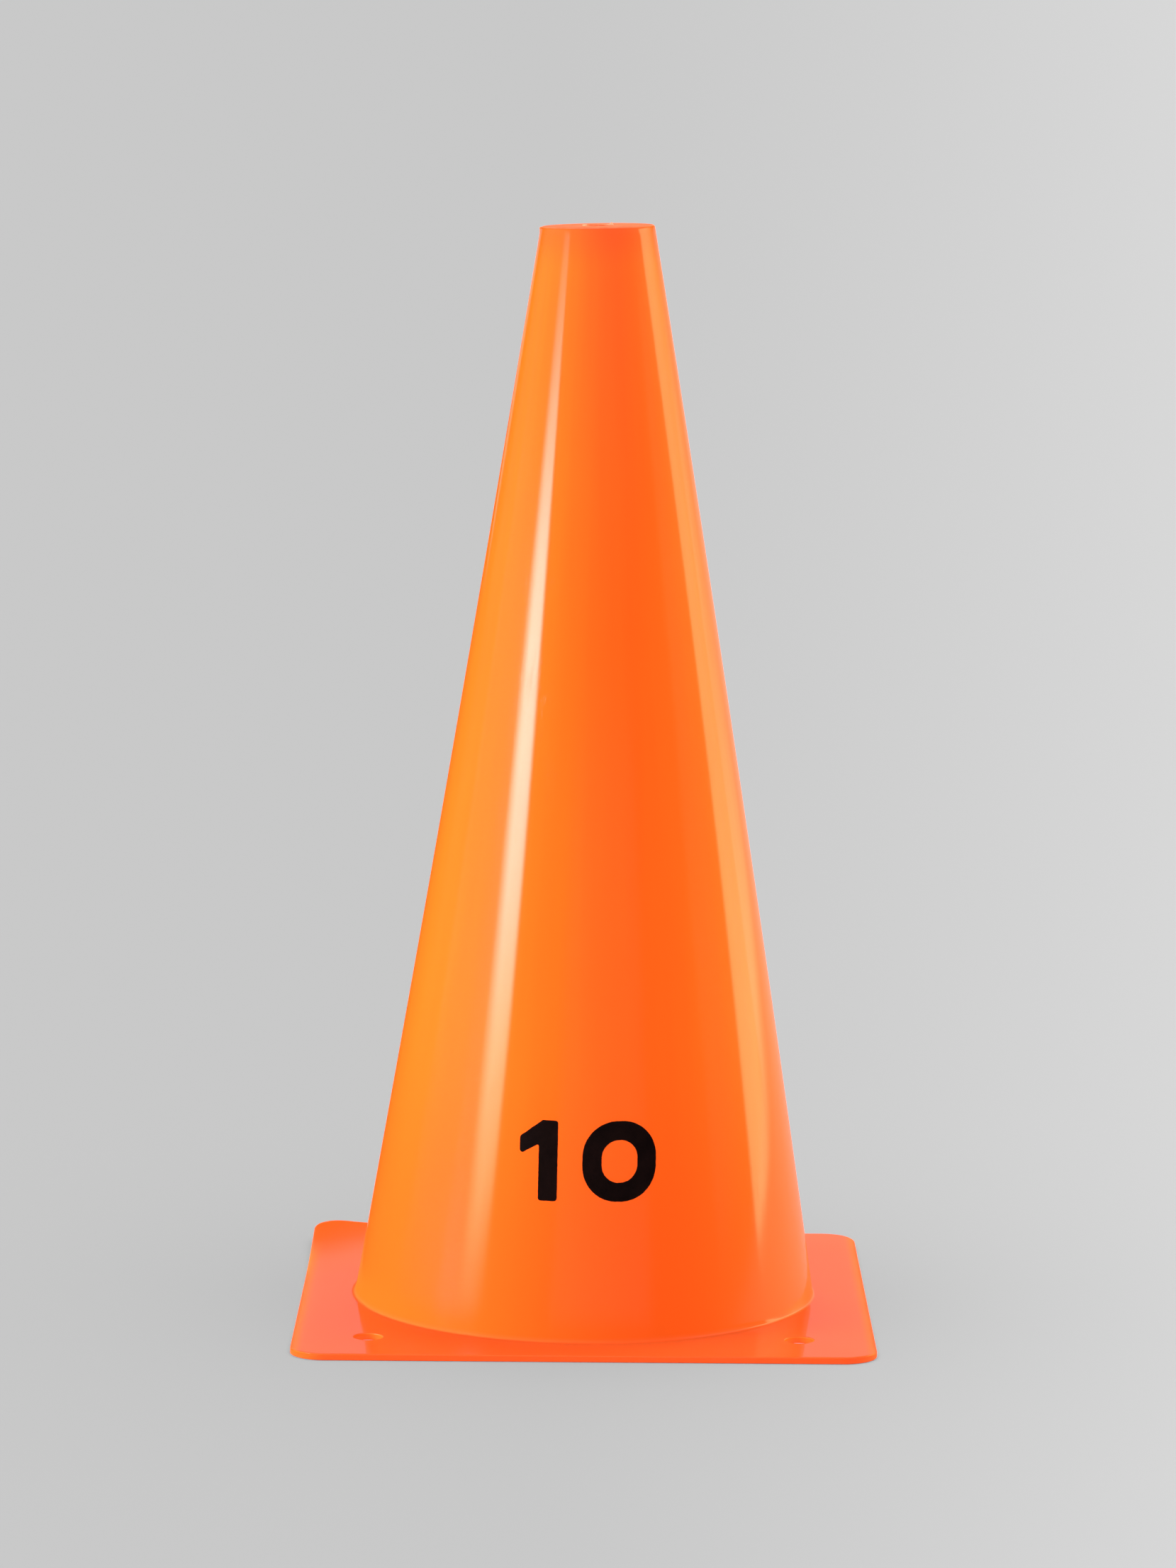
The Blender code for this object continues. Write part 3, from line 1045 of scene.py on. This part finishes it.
# Azimuth 0 is the camera's side and 90 is the right. Radiance 1 is white paper in plain light.
# A bell is the middle of the light up the box and its spread below and above that, a fade how
# far its left, right, low and high edges fade in, all as shares of the box. An inset moves the
# left edge in, and a bow bends the left and right edges in from its middle height. A low colour
# tints the foot of a box, up to where it is white. A box that fades shows in the gloss alone, and
# the others light the cone without showing in it.
lamps = {
    "keyBox": {"azimuth": -60.0, "distance": 0.75, "height": 0.34, "width": 0.29, "tall": 0.62,
               "radiance": 21.7, "bell": (0.51, 0.26, 0.155), "fade": (0.47, 0.18, 0.14, 0.01),
               "bow": (0.42, 0.0, 1.05), "turn": 11.0, "lowColour": (1.0, 1.0, 0.58, 1.0),
               "whiteEnds": (0.05, 0.4)},
    "leftStrip": {"azimuth": -105.0, "distance": 0.9, "height": 0.30, "width": 0.10, "tall": 0.6,
                  "radiance": 0.4, "bell": (0.5, 0.3, 0.3), "fade": (0.6, 0.15, 0.01, 0.01)},
    "leftCard": {"azimuth": -100.0, "distance": 1.0, "height": 0.36, "width": 1.5, "tall": 0.9,
                 "radiance": 0.34, "fade": (0.24, 0.12, 0.75, 0.01)},
    "rightWarm": {"azimuth": 119.6, "distance": 1.0, "height": 0.36, "width": 0.93, "tall": 0.8,
                  "radiance": 9.1, "colour": (1.0, 0.55, 0.26, 1.0), "fade": (0.1, 1.0, 0.13, 0.01),
                  "inset": 0.125, "bow": (0.5, -1.2, -0.8), "turn": 9.0},
    "keySoft": {"azimuth": -65.0, "distance": 0.75, "height": 0.19, "width": 0.3, "tall": 0.4,
                "radiance": 18.2},
    "leftSoft": {"azimuth": -84.0, "distance": 0.9, "height": 0.24, "width": 0.6, "tall": 0.4,
                 "radiance": 14.9},
    "frontSoft": {"azimuth": 8.0, "distance": 0.9, "height": 0.18, "width": 0.8, "tall": 0.4,
                  "radiance": 4.4},
    "rightSoft": {"azimuth": 88.0, "distance": 1.0, "height": 0.32, "width": 0.6, "tall": 0.5,
                  "radiance": 10.6},
    "rightBack": {"azimuth": 125.0, "distance": 1.0, "height": 0.32, "width": 0.6, "tall": 0.5,
                  "radiance": 15.2},
    "backSoft": {"azimuth": 180.0, "distance": 1.2, "height": 0.34, "width": 0.8, "tall": 0.4,
                 "radiance": 12.0},
    "backHigh": {"azimuth": 180.0, "distance": 0.55, "height": 0.95, "width": 0.6, "tall": 0.3,
                 "radiance": 7.6},
    "topSoft": {"azimuth": 180.0, "distance": 0.01, "height": 0.47, "width": 0.08, "tall": 0.08,
                "radiance": 5.0},
}
studio = {
    "lampAim": 0.2,                  # every lamp faces this height on the axis
    "skyStrength": 3.6,
    "skyAngle": 90.0,
    "paleLevel": 0.573,              # of the room where it is seen
    "dimLevel": 0.02,                # and as a light
}

dressed = bpy.data.collections.new("dressed")
dressed.objects.link(moulding)
dressed.objects.link(numberPrint)
stageOnly = bpy.data.collections.new("stageOnly")
stageOnly.objects.link(floorSheet)


def shapeLight(data, lamp):
    bench = newBench(data)
    spot = bench.node("ShaderNodeNewGeometry").other("Parametric")
    across, up = bench.split(spot)[:2]
    strength = 1.0
    if "fade" in lamp:
        left, right, low, high = lamp["fade"]
        middle, leftBow, rightBow = lamp.get("bow", (0.5, 0.0, 0.0))
        bent = (up - middle) * (up - middle)
        fromLeft = across - bent * leftBow - lamp.get("inset", 0.0)
        fromRight = 1.0 - across - bent * rightBow
        strength = (ramp(fromLeft, 0.0, left) * ramp(fromRight, 0.0, right)
                    * ramp(up, 0.0, low) * ramp(up, 1.0, 1.0 - high))
    if "bell" in lamp:
        middle, below, above = lamp["bell"]
        away = (up - middle) / ((up > middle) * (above - below) + below)
        strength = bench.maths("EXPONENT", away * away * -0.5) * strength
    colour = lamp.get("colour", white)
    if "lowColour" in lamp:
        colour = tint(ramp(up, *lamp["whiteEnds"]), lamp["lowColour"], colour)
    glow = bench.node("ShaderNodeEmission", {"Color": colour, "Strength": strength})
    bench.node("ShaderNodeOutputLight", {"Surface": glow})


def makeLamp(name, lamp):
    # These boxes light the cone alone, so the floor stays even.
    around, out = math.radians(lamp["azimuth"]), lamp["distance"]
    place = Vector((math.sin(around) * out, -math.cos(around) * out, lamp["height"]))
    data = bpy.data.lights.new(name, "AREA")
    data.shape = "RECTANGLE"
    data.size, data.size_y = lamp["width"], lamp["tall"]
    data.energy = lamp["radiance"] * math.pi * lamp["width"] * lamp["tall"]
    shapeLight(data, lamp)
    made = added(name, data)
    made.location = place
    made.rotation_mode = "QUATERNION"
    ahead = Vector((0.0, 0.0, studio["lampAim"])) - place
    roll = Quaternion((0.0, 0.0, 1.0), math.radians(lamp.get("turn", 0.0)))
    made.rotation_quaternion = ahead.to_track_quat("-Z", "Y") @ roll
    made.visible_camera = False
    made.visible_glossy = "fade" in lamp
    made.visible_diffuse = "fade" not in lamp
    made.light_linking.receiver_collection = dressed


for lampName, lamp in lamps.items():
    makeLamp(lampName, lamp)


def makeSky():
    # an even light from above for the floor, on which the cone leaves its shadow
    data = bpy.data.lights.new("sky", "SUN")
    data.energy = studio["skyStrength"]
    data.angle = math.radians(studio["skyAngle"])
    added("sky", data).light_linking.receiver_collection = stageOnly


def makeWorld():
    # pale wherever it is seen, past the floor's far end, and dim as a light
    world = bpy.data.worlds.new("room")
    bpy.context.scene.world = world
    bench = newBench(world)
    rays = bench.node("ShaderNodeLightPath")
    seen = bench.maths("MAXIMUM", rays.other("Is Camera Ray"), rays.other("Is Glossy Ray"))
    seen = bench.maths("MAXIMUM", seen, rays.other("Is Transmission Ray"))
    strength = seen * (studio["paleLevel"] - studio["dimLevel"]) + studio["dimLevel"]
    back = bench.node("ShaderNodeBackground", {"Color": white, "Strength": strength})
    bench.node("ShaderNodeOutputWorld", {"Surface": back})


makeSky()
makeWorld()
bpy.context.scene.view_settings.view_transform = "Standard"
print("studio lit")
